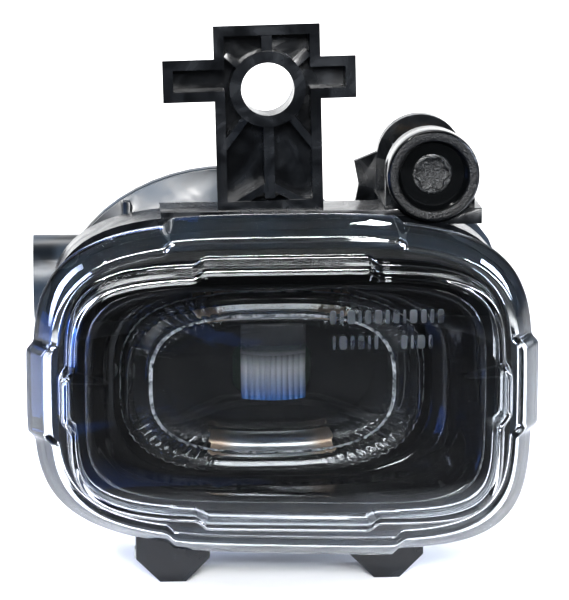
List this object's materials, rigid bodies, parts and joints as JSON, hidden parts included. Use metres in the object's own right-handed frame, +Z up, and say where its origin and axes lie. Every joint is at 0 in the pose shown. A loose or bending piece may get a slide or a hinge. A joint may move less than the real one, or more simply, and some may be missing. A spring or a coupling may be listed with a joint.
{
  "type": "fog light",
  "caption": "LED car fog light with a clear rounded lens, tilting in a ribbed black bracket with a bolt tab, an aiming screw and a side socket.",
  "frame": {"origin": "centre of the fixing hole in the bracket tab, on the rear face of the tab", "axes": "+X to the right of someone facing the lens, +Y into the car, +Z up"},
  "size_m": [0.1088, 0.0685, 0.1223],
  "materials": {
    "black_moulding": "semi-gloss moulded black polypropylene and nylon",
    "gloss_black": "gloss black moulded trim",
    "clear_lens": "clear moulded polycarbonate and acrylic",
    "seal_rubber": "matt black",
    "silvered": "vacuum metallised",
    "aluminium": "die cast",
    "plated_steel": "zinc plated",
    "brass": "tinned and plain",
    "circuit_board": "green solder mask",
    "led_phosphor": "matt phosphor",
    "soft_pad": "matt grey"
  },
  "bodies": {
    "bracket": {"mount_bracket": "black_moulding", "pivot_pin_left": "plated_steel", "pivot_pin_right": "plated_steel"},
    "lamp": {"housing": "black_moulding", "rear_cover": "black_moulding", "connector_insert": "black_moulding", "bezel": "gloss_black", "optic_holder": "gloss_black", "outer_lens": "clear_lens", "inner_optic": "clear_lens", "light_guide": "clear_lens", "lens_seal": "seal_rubber", "rear_seal": "seal_rubber", "vent_cap": "seal_rubber", "connector_seal": "seal_rubber", "upper_reflector_strip": "silvered", "lower_reflector_strip": "silvered", "heat_sink": "aluminium", "driver_capacitor": "aluminium", "cover_screw_1": "plated_steel", "cover_screw_2": "plated_steel", "cover_screw_3": "plated_steel", "cover_screw_4": "plated_steel", "optic_screw_1": "plated_steel", "optic_screw_2": "plated_steel", "board_screw_1": "plated_steel", "board_screw_2": "plated_steel", "driver_coil": "plated_steel", "connector_pin_1": "brass", "connector_pin_2": "brass", "led_board": "circuit_board", "driver_board": "circuit_board", "led_chip_1": "led_phosphor", "led_chip_2": "led_phosphor", "led_chip_3": "led_phosphor", "thermal_pad": "soft_pad", "vent_membrane": "soft_pad"},
    "aiming_screw": {"adjuster_clip": "plated_steel", "adjuster_screw": "black_moulding"},
    "aiming_nut": {"adjuster_nut": "brass"}
  },
  "joints": [
    {"name": "aim_tilt", "type": "hinge", "parent": "bracket", "child": "lamp", "pos_m": [0.0026, -0.002, -0.1032], "axis": [1, 0, 0], "range_deg": [-2.5, 2.5]},
    {"name": "screw_turn", "type": "hinge", "parent": "bracket", "child": "aiming_screw", "pos_m": [0.035, 0.00515, -0.0183], "axis": [0, 1, 0], "range_deg": [-535, 535]},
    {"name": "nut_slide", "type": "slide", "parent": "bracket", "child": "aiming_nut", "axis": [0, -1, 0], "range_m": [-0.0038, 0.0038]}
  ],
  "couplings": [
    {"joint": "screw_turn", "follows": "aim_tilt", "ratio": 213.38},
    {"joint": "nut_slide", "follows": "aim_tilt", "m_per_rad": 0.0849}
  ]
}
